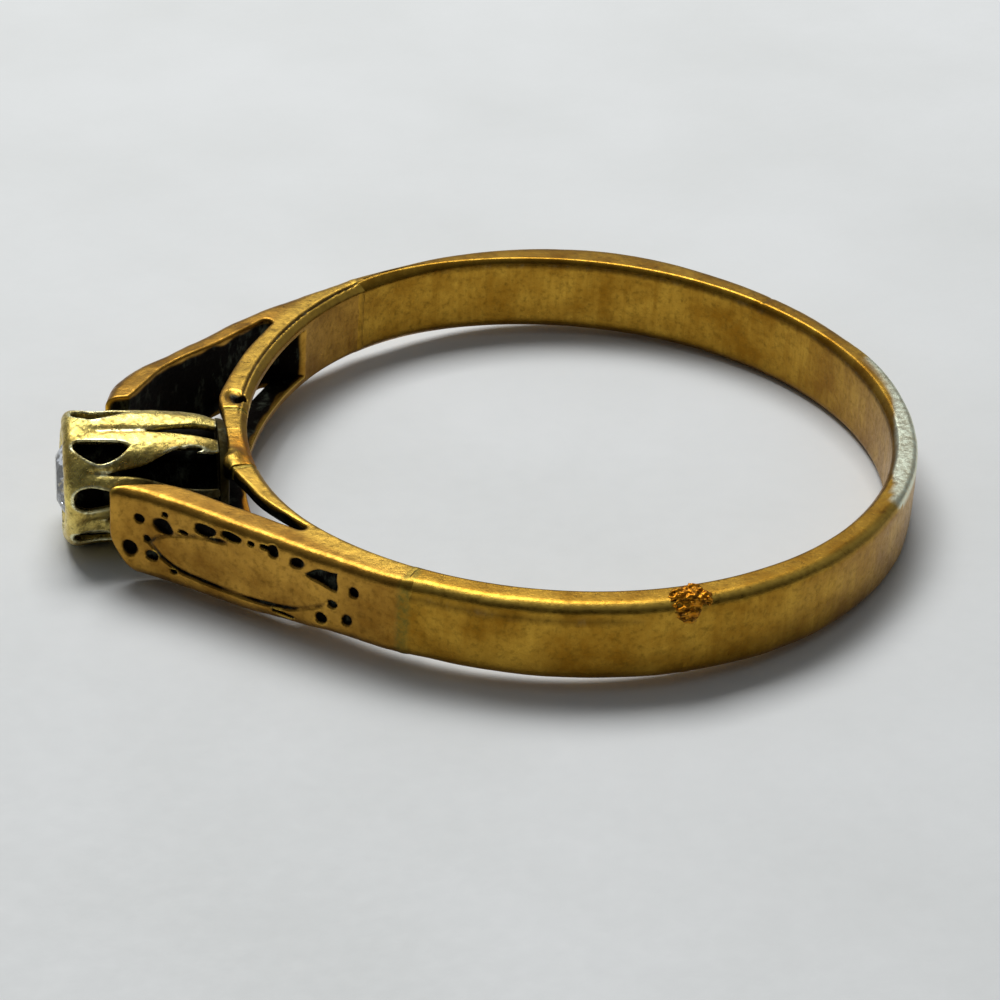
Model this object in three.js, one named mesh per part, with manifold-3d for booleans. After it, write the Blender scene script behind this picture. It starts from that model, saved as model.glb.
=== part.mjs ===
// A solitaire engagement ring lying flat: a plain gold shank that forks into two pierced
// shoulders, and an eight-petal head that stands out between them and holds one stone.
//
// Frame, in millimetres: the origin is the centre of the finger hole, half way up the band.
// +Z is the finger axis. The head points along -X. The far shoulder is on +Y, the near one on -Y.
// Angles around the finger are in degrees from -X, positive towards +Y.
import * as THREE from 'three';
import { mergeVertices } from 'three/addons/utils/BufferGeometryUtils.js';
import Module from 'manifold-3d';

// ---- Driving dimensions ----
const FINGER_RADIUS = 8.45;
const BAND_WIDTH = 2.1;
const RIM_ROUNDING = 0.3;
const MOUTH_CHAMFER = 0.16;

// The ring is out of round: pushed in behind the head, deepest at DENT_ANGLE.
const DENT_DEPTH = 0.62;
const DENT_ANGLE = 26;
const DENT_SPREAD_FAR = 56;
const DENT_SPREAD_NEAR = 64;

// The band's outside, which is worn and uneven, as [angle, radius].
const BAND_OUTSIDE = [
  [62, 8.93], [72, 8.94], [90, 9.22], [112, 9.42], [138, 9.2], [165, 9.1], [192, 9.08],
  [220, 9.17], [245, 9.28], [272, 9.32], [301.5, 9.3],
];

// Where the pieces of the band meet, and how wide the solder between them is, as angles.
const SHOULDER_END_FAR = 62;
const SHOULDER_END_NEAR = -54.5;
const SIZING_JOINT = -97;
const SIZING_SOLDER = 2.6;
const SADDLE_END_FAR = 7;
const SADDLE_END_NEAR = -12.5;
const SADDLE_REACH = 9.6;
const SOLDER = 0.8;
const GAP = 0.15;

// The shoulders: an outer wall, and an upper and a lower rail with a hollow between them.
// Each run of [x, y] points is a smooth curve in plan.
const RAIL_HEIGHT = 0.36;
const FAR_FACE = [
  [-7.15, 6.1], [-8.33, 5.17], [-9.5, 4.25], [-10.38, 3.56], [-11.08, 2.75], [-11.42, 1.89],
];
const NEAR_FACE = [
  [-7.16, -6.31], [-8.48, -5.13], [-9.94, -3.82], [-10.68, -3.2], [-11.2, -2.8], [-11.78, -2.53],
];
const FAR_WALL = [
  [-6.85, 5.65], [-8, 4.67], [-9.03, 3.94], [-9.76, 3.32], [-10.27, 2.62], [-10.79, 1.89],
];
const NEAR_WALL = [
  [-7.5, -4.95], [-8.22, -4.3], [-9.39, -3.25], [-10.05, -2.7], [-10.6, -2.45], [-11.78, -2.4],
];
const FAR_RAIL = [[-8.54, 1.05], [-8.52, 1.74], [-8.15, 2.69], [-7.49, 4.09], [-6.65, 5.42]];
const NEAR_RAIL = [[-8.7, -1.9], [-8.44, -2.66], [-8.15, -3.47], [-7.38, -4.71]];
const NEAR_TIP_CUT = [[-11.78, -3.5], [-14, -3.5]];
const FAR_HOLLOW_END = [-4.9, 5.6];
const NEAR_HOLLOW_END = [-5.8, -4.9];

// The head: a pierced crown on an axis that is a little off centre and a little turned.
const HEAD_FOOT = [-8.885, -0.4, 0];
const HEAD_TURN = 3.1;
const HEAD_HEIGHT = 3.83;
const HEAD_RADIUS = 1.68;
const RIM_ROUNDNESS = 0.32;
const CROWN_WALL = 0.26;
const CROWN_LIP = 0.12;
const LIP_DEPTH = 0.26;
const FOOT_RING_HEIGHT = 0.22;
const FOOT_RADIUS = 1.3;
const PETALS = 8;
const PETAL_PITCH = 360 / PETALS;
const FIRST_PETAL = 10.5;
const WINDOW_HALF_WIDTH = 0.3;
const WINDOW_FOOT = HEAD_HEIGHT - 1.7;
const WINDOW_TOP = HEAD_HEIGHT - 0.27;
const STONE_RADIUS = 0.96;
const TABLE_RADIUS = 0.55;
const GIRDLE_HEIGHT = HEAD_HEIGHT - 0.14;
const TABLE_HEIGHT = HEAD_HEIGHT + 0.14;
const CULET_HEIGHT = HEAD_HEIGHT - 0.98;
const SEAT_WALL = 0.12;
const CUP_FOOT = 0.05;
const CUP_FOOT_RADIUS = 1.12;
const CUP_WALL = 0.14;
const GIRDLE_THICKNESS = 0.04;
const SEAT_LIP = 0.06;
const FIT = 0.02;

const HALF_WIDTH = BAND_WIDTH / 2;
const RAIL_INSIDE = HALF_WIDTH - RAIL_HEIGHT;
const BAND_SEGMENTS = 144;
const CUTTER_REACH = 3;
const rad = THREE.MathUtils.degToRad;
const wasm = await Module();
wasm.setup();

// ---- Solids: three.js geometry in, joined and cut solids out ----
function solidOf(geometry) {
  const plain = geometry.clone();
  plain.deleteAttribute('normal');
  plain.deleteAttribute('uv');
  const merged = mergeVertices(plain, 1e-5);
  const vertProperties = new Float32Array(merged.attributes.position.array);
  const triVerts = new Uint32Array(merged.index.array);
  return new wasm.Manifold(new wasm.Mesh({ numProp: 3, vertProperties, triVerts }));
}

function geometryOf(solid) {
  const { vertProperties, triVerts } = solid.getMesh();
  const geometry = new THREE.BufferGeometry();
  geometry.setAttribute('position', new THREE.BufferAttribute(vertProperties, 3));
  geometry.setIndex(new THREE.BufferAttribute(triVerts, 1));
  geometry.computeVertexNormals();
  return geometry;
}

// A prism through an outline of [x, y] points between two heights, its rims square or rounded.
function prism(outline, bottom, top, rounding = 0) {
  const shape = new THREE.Shape(outline.map(([x, y]) => new THREE.Vector2(x, y)));
  const geometry = new THREE.ExtrudeGeometry(shape, {
    depth: top - bottom - 2 * rounding,
    bevelEnabled: rounding > 0,
    bevelSize: rounding,
    bevelThickness: rounding,
    bevelOffset: -rounding,
    bevelSegments: 4,
  });
  return solidOf(geometry.translate(0, 0, bottom + rounding));
}

// A shape turned about +Z from [radius, height] points that climb round its outside.
function turned(profile, segments) {
  const points = profile.map(([r, z]) => new THREE.Vector2(r, z));
  return new THREE.LatheGeometry(points, segments).rotateX(Math.PI / 2);
}

// Points along an arc of a circle, from one angle to another.
function arc(centreX, centreY, radius, from, to, steps = 4) {
  const curve = new THREE.EllipseCurve(centreX, centreY, radius, radius, rad(from), rad(to), to < from);
  return curve.getPoints(steps).map((p) => [p.x, p.y]);
}

// Points along a smooth curve through the given ones.
function smooth(points, steps = 15) {
  const curve = new THREE.SplineCurve(points.map(([x, y]) => new THREE.Vector2(x, y)));
  return curve.getPoints(steps).map((p) => [p.x, p.y]);
}

// ---- The band ----
// How far the ring is pushed in at an angle around the finger, as a share of its radius.
function dentAt(angle) {
  const spread = angle > DENT_ANGLE ? DENT_SPREAD_FAR : DENT_SPREAD_NEAR;
  const t = Math.min(Math.abs(angle - DENT_ANGLE) / spread, 1);
  return ((DENT_DEPTH / FINGER_RADIUS) * (1 + Math.cos(Math.PI * t))) / 2;
}

function polar(angle, radius) {
  return [-radius * Math.cos(rad(angle)), radius * Math.sin(rad(angle))];
}

// Moves every point of a round shape in with the dent.
function pushedIn(geometry) {
  const position = geometry.attributes.position;
  for (let i = 0; i < position.count; i += 1) {
    const x = position.getX(i);
    const y = position.getY(i);
    const scale = 1 - dentAt(THREE.MathUtils.radToDeg(Math.atan2(y, -x)));
    position.setXY(i, x * scale, y * scale);
  }
  return geometry;
}

// The finger hole as a plug that flares at both mouths.
function fingerPlug() {
  const straight = HALF_WIDTH - MOUTH_CHAMFER;
  const mouth = FINGER_RADIUS + MOUTH_CHAMFER;
  return solidOf(pushedIn(turned([
    [0, -2], [mouth, -2], [mouth, -HALF_WIDTH], [FINGER_RADIUS, -straight],
    [FINGER_RADIUS, straight], [mouth, HALF_WIDTH], [mouth, 2], [0, 2],
  ], BAND_SEGMENTS)));
}

// The shoulders' outer faces in plan, from the band to their tips.
function farFaceLine() {
  const band = BAND_OUTSIDE.slice(0, 3).map(([angle, radius]) => polar(angle, radius));
  return smooth([...band.reverse(), ...FAR_FACE], 36);
}

function nearFaceLine() {
  const band = BAND_OUTSIDE.slice(-2).map(([angle, radius]) => polar(angle, radius));
  return smooth([...band, ...NEAR_FACE], 32);
}

// The band as a full disc with rounded corners. At its near end it runs on along the start of
// the near shoulder's face, and across the shoulders it is a plain chord.
function bandDisc() {
  const outside = smooth(BAND_OUTSIDE, 90).map(([angle, radius]) => polar(angle, radius));
  const runOn = nearFaceLine().filter(([x]) => x < -5.2 && x > -7.2);
  const outline = [[-12, 8], ...outside, ...runOn, [-12, -2]];
  return prism(outline, -HALF_WIDTH, HALF_WIDTH, RIM_ROUNDING);
}

// A wedge of space between two angles around the finger, out to a radius.
function wedge(from, to, reach) {
  const steps = Math.ceil((to - from) / 20);
  const rim = arc(0, 0, reach, 180 - to, 180 - from, steps);
  return prism([[0, 0], ...rim], -CUTTER_REACH, CUTTER_REACH);
}

// Both shoulders, the rails and the saddles in one blank, still without the finger hole.
// Its faces begin on the band, and beyond the tips it runs on across the front.
function shouldersBlank() {
  const front = [[-12.2, 0.2], [-13.4, -1], [-13.6, -2.07]];
  const outline = [[0, 0], ...farFaceLine(), ...front, ...nearFaceLine().reverse()];
  return prism(outline, -HALF_WIDTH, HALF_WIDTH, RIM_ROUNDING);
}

// The pocket that the head stands in, cut right through between the walls and the rails.
function pocket() {
  const outline = [
    [-14, FAR_WALL.at(-1)[1]], ...smooth(FAR_WALL).reverse(), ...smooth(FAR_RAIL).reverse(),
    ...smooth(NEAR_RAIL), ...smooth(NEAR_WALL), ...NEAR_TIP_CUT,
  ];
  return prism(outline, -CUTTER_REACH, CUTTER_REACH);
}

// The hollow between the upper and the lower rail, open to the finger.
function railHollow() {
  const outline = [
    [-14, FAR_WALL.at(-1)[1]], ...smooth(FAR_WALL).reverse(), FAR_HOLLOW_END,
    NEAR_HOLLOW_END, ...smooth(NEAR_WALL), ...NEAR_TIP_CUT,
  ];
  return prism(outline, -RAIL_INSIDE, RAIL_INSIDE);
}

// ---- The head, built along +Z from its foot ----
function crownShell() {
  const rimZ = HEAD_HEIGHT - RIM_ROUNDNESS;
  const inside = HEAD_RADIUS - CROWN_WALL;
  const mouth = inside - CROWN_LIP;
  const lipFoot = HEAD_HEIGHT - LIP_DEPTH;
  return solidOf(turned([
    [1.18, 0], [1.42, 0], [1.56, 0.45], [1.64, 0.95], [HEAD_RADIUS, 1.6],
    ...arc(HEAD_RADIUS - RIM_ROUNDNESS, rimZ, RIM_ROUNDNESS, 0, 80),
    [mouth, HEAD_HEIGHT - 0.03], [mouth, lipFoot], [inside, lipFoot - 0.16],
    [inside, 1.6], [1.38, 0.95], [1.3, 0.45], [1.18, 0],
  ], 96));
}

// A cutter that passes out through the crown's wall at an angle about its axis.
// Its outline is in [sideways, height] and it starts at the crown's axis.
function crownCutter(outline, angle) {
  const shape = new THREE.Shape(outline.map(([x, y]) => new THREE.Vector2(x, y)));
  const geometry = new THREE.ExtrudeGeometry(shape, { depth: CUTTER_REACH, bevelEnabled: false });
  return solidOf(geometry.rotateX(Math.PI / 2).rotateZ(rad(angle)));
}

// The gap between two petals: wide at the foot, closing upwards to a point.
function petalGap() {
  const side = [
    [0.42, -0.2], [0.44, 0.3], [0.42, 0.75], [0.33, 1.2], [0.16, 1.75], [0.06, 2.2], [0.02, 2.8],
  ];
  const mirrored = side.map(([x, z]) => [-x, z]).reverse();
  return [...side, ...mirrored];
}

// The window in a petal: a teardrop with its round end towards the rim.
function petalWindow() {
  const centre = WINDOW_TOP - WINDOW_HALF_WIDTH;
  return [[0, WINDOW_FOOT], ...arc(0, centre, WINDOW_HALF_WIDTH, -20, 200, 10)];
}

function headCrown() {
  let crown = crownShell();
  for (let i = 0; i < PETALS; i += 1) {
    const angle = FIRST_PETAL + i * PETAL_PITCH;
    crown = crown.subtract(crownCutter(petalWindow(), angle));
    crown = crown.subtract(crownCutter(petalGap(), angle + PETAL_PITCH / 2));
  }
  return crown;
}

// The ring that the petals' feet stand on.
function footRing() {
  const inside = 0.8;
  const low = -FOOT_RING_HEIGHT - FIT;
  return solidOf(turned([
    [inside, low], [FOOT_RADIUS, low], [FOOT_RADIUS + 0.08, -FIT], [inside, -FIT], [inside, low],
  ], 48));
}

// The cup inside the crown, which seats the stone in its rim and runs down behind the petals.
function stoneCup() {
  const outside = HEAD_RADIUS - CROWN_WALL - CROWN_LIP - FIT;
  const seat = STONE_RADIUS + FIT;
  const ledge = CULET_HEIGHT + 0.42;
  const throat = 0.52;
  return solidOf(turned([
    [CUP_FOOT_RADIUS, CUP_FOOT], [outside, GIRDLE_HEIGHT - 0.22], [outside, HEAD_HEIGHT - 0.04],
    [seat, GIRDLE_HEIGHT + SEAT_LIP], [seat, GIRDLE_HEIGHT - GIRDLE_THICKNESS], [throat, ledge],
    [throat, ledge - SEAT_WALL], [CUP_FOOT_RADIUS, ledge - 0.45],
    [CUP_FOOT_RADIUS - CUP_WALL, CUP_FOOT], [CUP_FOOT_RADIUS, CUP_FOOT],
  ], 64));
}

// A brilliant-cut stone in outline: a cone below its girdle and a flat table on top.
function stone() {
  const low = GIRDLE_HEIGHT - GIRDLE_THICKNESS / 2;
  return solidOf(turned([
    [0, CULET_HEIGHT], [STONE_RADIUS, low], [STONE_RADIUS, low + GIRDLE_THICKNESS],
    [TABLE_RADIUS, TABLE_HEIGHT], [0, TABLE_HEIGHT],
  ], 16));
}

// ---- Materials ----
function metal(colour, roughness) {
  return new THREE.MeshStandardMaterial({ color: colour, metalness: 1, roughness });
}

const shankGold = () => metal('#a8822e', 0.38);
const shoulderGold = () => metal('#a67a2c', 0.42);
const headGold = () => metal('#b8a45c', 0.4);
const solderMetal = () => metal('#8c7a3a', 0.6);
const clearStone = () => new THREE.MeshStandardMaterial({ color: '#eef2f5', roughness: 0.02 });

// ---- Assembly ----
const ring = new THREE.Group();
const head = new THREE.Group();
head.position.set(...HEAD_FOOT);
head.rotation.set(0, -Math.PI / 2, -rad(HEAD_TURN), 'ZYX');
ring.add(head);

function addPiece(parent, name, solid, material) {
  const mesh = new THREE.Mesh(geometryOf(solid), material);
  mesh.name = name;
  parent.add(mesh);
}

// A piece of the band or the shoulders between two angles, a gap short of its neighbours.
function cutPiece(body, from, to, reach = 20) {
  return body.intersect(wedge(from + GAP / 2, to - GAP / 2, reach));
}

// The solder in the joint that is centred on an angle.
function solderAt(body, angle, width = SOLDER) {
  return cutPiece(body, angle - width / 2, angle + width / 2, SADDLE_REACH);
}

const plug = fingerPlug();
const band = bandDisc().subtract(plug);
const shoulders = shouldersBlank().subtract(pocket()).subtract(railHollow()).subtract(plug);
const everywhere = [[-20, -20], [20, -20], [20, 20], [-20, 20]];
const upperSide = shoulders.intersect(prism(everywhere, 0, CUTTER_REACH));
const lowerSide = shoulders.intersect(prism(everywhere, -CUTTER_REACH, 0));
const saddleStart = SADDLE_END_NEAR - SOLDER / 2;
const saddleStop = SADDLE_END_FAR + SOLDER / 2;
const arms = shoulders.subtract(wedge(saddleStart - GAP / 2, saddleStop + GAP / 2, SADDLE_REACH));
const sizingFar = 360 + SIZING_JOINT - SIZING_SOLDER / 2;
const sizingNear = SIZING_JOINT + SIZING_SOLDER / 2;

const longSection = cutPiece(band, SHOULDER_END_FAR + SOLDER / 2, sizingFar);
const shortSection = cutPiece(band, sizingNear, SHOULDER_END_NEAR - SOLDER / 2);
const farShoulder = cutPiece(arms, 0, SHOULDER_END_FAR - SOLDER / 2);
const nearShoulder = cutPiece(arms, SHOULDER_END_NEAR + SOLDER / 2, 0);

addPiece(ring, 'shank_long_section', longSection, shankGold());
addPiece(ring, 'shank_short_section', shortSection, shankGold());
addPiece(ring, 'sizing_solder_seam', solderAt(band, SIZING_JOINT, SIZING_SOLDER), solderMetal());
addPiece(ring, 'shoulder_solder_far', solderAt(band, SHOULDER_END_FAR), solderMetal());
addPiece(ring, 'shoulder_solder_near', solderAt(band, SHOULDER_END_NEAR), solderMetal());
addPiece(ring, 'shoulder_far', farShoulder, shoulderGold());
addPiece(ring, 'shoulder_near', nearShoulder, shoulderGold());

for (const [side, body] of [['upper', upperSide], ['lower', lowerSide]]) {
  const saddle = cutPiece(body, saddleStart + SOLDER, saddleStop - SOLDER, SADDLE_REACH);
  addPiece(ring, `saddle_${side}`, saddle, shoulderGold());
  addPiece(ring, `saddle_solder_${side}_far`, solderAt(body, SADDLE_END_FAR), solderMetal());
  addPiece(ring, `saddle_solder_${side}_near`, solderAt(body, SADDLE_END_NEAR), solderMetal());
}

addPiece(head, 'head_crown', headCrown(), headGold());
addPiece(head, 'head_foot_ring', footRing(), headGold());
addPiece(head, 'stone_cup', stoneCup(), headGold());
addPiece(head, 'diamond', stone(), clearStone());

export default ring;
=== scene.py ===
import math

import bmesh
import bpy
import numpy as np
from mathutils import Matrix, Vector


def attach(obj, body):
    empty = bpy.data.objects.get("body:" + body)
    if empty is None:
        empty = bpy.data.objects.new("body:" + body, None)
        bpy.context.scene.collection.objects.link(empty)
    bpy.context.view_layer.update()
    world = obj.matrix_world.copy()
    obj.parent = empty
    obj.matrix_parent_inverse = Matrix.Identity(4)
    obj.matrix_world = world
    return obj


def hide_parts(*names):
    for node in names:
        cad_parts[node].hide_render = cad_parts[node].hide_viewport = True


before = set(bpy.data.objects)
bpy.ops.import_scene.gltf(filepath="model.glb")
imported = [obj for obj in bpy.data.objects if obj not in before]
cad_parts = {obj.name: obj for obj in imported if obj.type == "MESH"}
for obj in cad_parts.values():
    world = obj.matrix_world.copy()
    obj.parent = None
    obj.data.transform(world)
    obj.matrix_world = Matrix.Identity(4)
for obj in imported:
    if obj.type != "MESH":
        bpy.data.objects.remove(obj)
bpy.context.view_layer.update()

# An old solitaire engagement ring, worn and uncleaned. Everything here is worked out in
# millimetres and written to the meshes in metres. The frame is the CAD model's: the origin is
# the centre of the finger hole, +Z is the finger axis and the head points along -X.
# Angles around the finger are in degrees from -X, positive towards +Y.
MM = 0.001

# ---- Dimensions shared with the CAD model ----
FINGER_RADIUS = 8.45
HALF_WIDTH = 1.05
RIM_ROUNDING = 0.3
MOUTH_CHAMFER = 0.16
DENT_DEPTH = 0.62
DENT_ANGLE = 26.0
DENT_SPREAD_FAR = 56.0
DENT_SPREAD_NEAR = 64.0
BAND_OUTSIDE = [
    (62, 8.93), (72, 8.94), (90, 9.22), (112, 9.42), (138, 9.2), (165, 9.1), (192, 9.08),
    (220, 9.17), (245, 9.28), (272, 9.32), (301.5, 9.3),
]
SHOULDER_END_FAR = 62.0
SHOULDER_END_NEAR = -54.5
SIZING_JOINT = -97.0
SIZING_SOLDER = 2.6
SADDLE_END_FAR = 7.0
SADDLE_END_NEAR = -12.5
SADDLE_REACH = 9.6
SADDLE_RADIUS = 8.3
SOLDER = 0.8
RAIL_INSIDE = 0.69
FAR_FACE = [
    (-7.15, 6.1), (-8.33, 5.17), (-9.5, 4.25), (-10.38, 3.56), (-11.08, 2.75), (-11.42, 1.89),
]
NEAR_FACE = [
    (-7.16, -6.31), (-8.48, -5.13), (-9.94, -3.82), (-10.68, -3.2), (-11.2, -2.8), (-11.78, -2.53),
]
FAR_WALL = [
    (-6.85, 5.65), (-8, 4.67), (-9.03, 3.94), (-9.76, 3.32), (-10.27, 2.62), (-10.79, 1.89),
]
NEAR_WALL = [
    (-7.5, -4.95), (-8.22, -4.3), (-9.39, -3.25), (-10.05, -2.7), (-10.6, -2.45), (-11.78, -2.4),
]
FAR_RAIL = [(-8.54, 1.05), (-8.52, 1.74), (-8.15, 2.69), (-7.49, 4.09), (-6.65, 5.42)]
NEAR_RAIL = [(-8.7, -1.9), (-8.44, -2.66), (-8.15, -3.47), (-7.38, -4.71)]
NEAR_TIP_CUT = [(-11.78, -3.5), (-14, -3.5)]
FAR_HOLLOW_END = (-4.9, 5.6)
NEAR_HOLLOW_END = (-5.8, -4.9)
FRONT = [(-12.2, 0.2), (-13.4, -1), (-13.6, -2.07)]

HEAD_FOOT = np.array([-8.885, -0.4, 0.0])
HEAD_TURN = 3.1
HEAD_HEIGHT = 3.83
HEAD_RADIUS = 1.68
RIM_ROUNDNESS = 0.32
PETALS = 8
PETAL_PITCH = 360 / PETALS
FIRST_PETAL = 10.5
FOOT_RING_HEIGHT = 0.22
FOOT_RADIUS = 1.3
STONE_RADIUS = 0.96
TABLE_RADIUS = 0.55
KITE_RADIUS = 0.8
BELLY_RADIUS = 0.42
GIRDLE_HEIGHT = HEAD_HEIGHT - 0.14
TABLE_HEIGHT = HEAD_HEIGHT + 0.14
CULET_HEIGHT = HEAD_HEIGHT - 0.98
CUP_FOOT = 0.05
CUP_FOOT_RADIUS = 1.12

# The near wall's tip and the far wall's tip end square, with their corners worn round.
NEAR_TIP_X = -11.78
FAR_TIP_Y = 1.89
FAR_TIP_BEGINS = -9.6


# ---- Plane curves ----
def smooth(points, steps):
    """Points along the uniform Catmull-Rom curve through the given ones."""
    knots = np.array(points, float)
    t = np.linspace(0, len(knots) - 1, steps + 1)
    i = np.minimum(t.astype(int), len(knots) - 2)
    u = (t - i)[:, None]
    before = knots[np.maximum(i - 1, 0)]
    start, end = knots[i], knots[i + 1]
    after = knots[np.minimum(i + 2, len(knots) - 1)]
    out, back = (end - before) / 2, (after - start) / 2
    cubic = 2 * start - 2 * end + out + back
    square = -3 * start + 3 * end - 2 * out - back
    return cubic * u ** 3 + square * u ** 2 + out * u + start


def polar(angle, radius):
    a = np.radians(angle)
    return np.stack([-radius * np.cos(a), radius * np.sin(a)], -1)


def from_centre(angle, centre):
    """The turn from one angle to another, from -180 to 180 degrees."""
    return (angle - centre + 180) % 360 - 180


def angle_of(x, y):
    """The angle around the finger, from -180 to 180 degrees."""
    return np.degrees(np.arctan2(y, -x))


def signed_polygon(x, y, outline):
    """Distance to a closed outline, negative inside it."""
    nearest = np.inf
    inside = False
    for (x0, y0), (x1, y1) in zip(outline, np.roll(outline, -1, axis=0)):
        ex, ey = x1 - x0, y1 - y0
        wx, wy = x - x0, y - y0
        t = np.clip((wx * ex + wy * ey) / (ex * ex + ey * ey + 1e-12), 0, 1)
        nearest = np.minimum(nearest, (wx - ex * t) ** 2 + (wy - ey * t) ** 2)
        if y0 != y1:
            inside = inside ^ (((y0 <= y) != (y1 <= y)) & (wx < ex * wy / ey))
    return np.where(inside, -1.0, 1.0) * np.sqrt(nearest)


def along(x, y, line):
    """Distance to an open line and how far along it the nearest point is."""
    nearest, place, start = np.inf, 0.0, 0.0
    for (x0, y0), (x1, y1) in zip(line[:-1], line[1:]):
        ex, ey = x1 - x0, y1 - y0
        length = math.hypot(ex, ey)
        t = np.clip(((x - x0) * ex + (y - y0) * ey) / length ** 2, 0, 1)
        gap = (x - x0 - ex * t) ** 2 + (y - y0 - ey * t) ** 2
        place = np.where(gap < nearest, start + length * t, place)
        nearest = np.minimum(nearest, gap)
        start += length
    return np.sqrt(nearest), place


# ---- Solid shapes as distance functions ----
def round_max(a, b, radius):
    """Where two shapes overlap, with the edge between them rounded."""
    over = np.hypot(np.maximum(a + radius, 0), np.maximum(b + radius, 0))
    return np.minimum(-radius, np.maximum(a, b)) + over


def round_min(a, b, radius):
    """Two shapes joined, with a fillet between them."""
    return -round_max(-a, -b, radius)


def step(low, high, value):
    t = np.clip((value - low) / (high - low), 0, 1)
    return t * t * (3 - 2 * t)


def ball(x, y, z, centre, radii):
    """Roughly the distance to an ellipsoid."""
    cx, cy, cz = centre
    rx, ry, rz = radii
    q = np.sqrt(((x - cx) / rx) ** 2 + ((y - cy) / ry) ** 2 + ((z - cz) / rz) ** 2)
    return (q - 1) * min(radii)


class Ripple:
    """A smooth field of small lumps of about one size, the same on every run."""

    def __init__(self, size, seed, waves=14):
        draw = np.random.default_rng(seed)
        heading = draw.normal(size=(waves, 3))
        heading /= np.linalg.norm(heading, axis=1)[:, None]
        self.heading = heading * (2 * math.pi / (size * draw.uniform(0.7, 1.6, waves)))[:, None]
        self.shift = draw.uniform(0, 2 * math.pi, waves)
        self.share = 1 / math.sqrt(waves / 2)

    def __call__(self, x, y, z):
        total = 0.0
        for (a, b, c), shift in zip(self.heading, self.shift):
            total = total + np.sin(a * x + b * y + c * z + shift)
        return total * self.share


# ---- The band ----
def dent_scale(angle):
    spread = np.where(angle > DENT_ANGLE, DENT_SPREAD_FAR, DENT_SPREAD_NEAR)
    t = np.minimum(np.abs(angle - DENT_ANGLE) / spread, 1)
    return 1 - DENT_DEPTH / FINGER_RADIUS * (1 + np.cos(math.pi * t)) / 2


def bore_at(angle):
    """Radius of the finger hole. Angles run from -180 to 180."""
    return FINGER_RADIUS * dent_scale(angle)


def outside_at(angle):
    """Radius of the band's outside, for angles from 62 to 307."""
    return np.interp(angle, OUTSIDE_LINE[:, 0], OUTSIDE_LINE[:, 1])


def chamfer_at(angle):
    """Width of the bevel at the finger hole's upper mouth: wide on the far arm, then narrow."""
    far_arm = step(5, 40, angle) * (1 - step(62, 88, angle))
    far_band = step(66, 92, angle) * (1 - step(150, 178, angle))
    return MOUTH_CHAMFER + 0.05 * far_arm - 0.05 * far_band


def crease_at(angle):
    """Strength of the graver's groove beside the upper mouth, and of the dark reflection painted along
    it.
    """
    return step(2, 10, angle) * (1 - step(58, 68, angle))


FAR_BLANK = smooth([*polar(np.array([90, 72, 62]), np.array([9.22, 8.94, 8.93])), *FAR_FACE], 36)
NEAR_BLANK = smooth([*polar(np.array([272, 301.5]), np.array([9.32, 9.3])), *NEAR_FACE], 32)
RUN_ON = NEAR_BLANK[(NEAR_BLANK[:, 0] < -5.2) & (NEAR_BLANK[:, 0] > -7.2)]
RUN_ON_ANGLE = angle_of(*RUN_ON.T) % 360
OUTSIDE_LINE = np.vstack([
    smooth(BAND_OUTSIDE, 90), np.column_stack([RUN_ON_ANGLE, np.hypot(*RUN_ON.T)]),
])
BODY_NOISE = Ripple(1.6, 1)
FINE_NOISE = Ripple(0.35, 2)
CREASE_WIDTH = 0.045
CREASE_OFFSET = 0.21
NICK_ANGLE = 142
NEAR_SAG = 0.29
FAR_SAG = 0.2


# ---- Shoulders and saddles ----
BLANK = np.vstack([[(0, 0)], FAR_BLANK, FRONT, NEAR_BLANK[::-1]])
POCKET = np.vstack([
    [(-14, FAR_TIP_Y)], smooth(FAR_WALL, 15)[::-1], smooth(FAR_RAIL, 15)[::-1],
    smooth(NEAR_RAIL, 15), smooth(NEAR_WALL, 15), NEAR_TIP_CUT,
])
HOLLOW = np.vstack([
    [(-14, FAR_TIP_Y)], smooth(FAR_WALL, 15)[::-1], [FAR_HOLLOW_END, NEAR_HOLLOW_END],
    smooth(NEAR_WALL, 15), NEAR_TIP_CUT,
])
NEAR_LINE = NEAR_BLANK[::-1]
SLOT_ENDS = [(-6.75, 5.53, 0.15), (-7.44, -4.83, 0.13)]

# Engraving on the near wall's face, in [distance from the tip, height]: pits as
# [place, height, half-length, half-height], and the outline of a long pointed oval.
PITS = [
    (0.77, 0.31, 0.12, 0.1), (1.48, 0.65, 0.1, 0.07), (1.42, 0.27, 0.26, 0.2),
    (2.02, 0.32, 0.14, 0.05), (2.62, 0.6, 0.24, 0.17), (3.44, 0.66, 0.24, 0.11),
    (3.98, 0.7, 0.09, 0.06), (4.6, 0.68, 0.17, 0.14), (4.35, 0.74, 0.12, 0.06),
    (5.28, 0.63, 0.2, 0.14), (6.86, 0.36, 0.12, 0.12), (6.69, -0.49, 0.13, 0.13),
    (5.98, -0.64, 0.13, 0.12), (0.52, -0.6, 0.2, 0.19), (1.14, -0.62, 0.15, 0.12),
    (0.98, -0.2, 0.1, 0.09), (6.28, -0.17, 0.12, 0.1), (1.75, -0.88, 0.1, 0.06),
    (4.9, -0.92, 0.3, 0.05),
]
WEDGE_PIT = [(5.5, 0.42), (5.95, 0.66), (6.4, 0.72), (6.38, 0.2), (6.05, 0.24)]
OVAL_TOP = [
    (1.08, -0.27), (1.37, 0.0), (2.37, 0.33), (3.38, 0.49), (4.24, 0.55), (5.11, 0.5), (5.6, 0.3),
]
OVAL_FOOT = [
    (6.2, -0.2), (5.83, -0.41), (5.14, -0.7), (4.12, -0.84), (2.95, -0.86), (1.94, -0.8),
    (1.37, -0.56),
]
OVAL = np.vstack([smooth(OVAL_TOP, 18), smooth(OVAL_FOOT, 18)])
PIT_DEPTH = 0.12
PIT_GROWTH = 1.2
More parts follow.
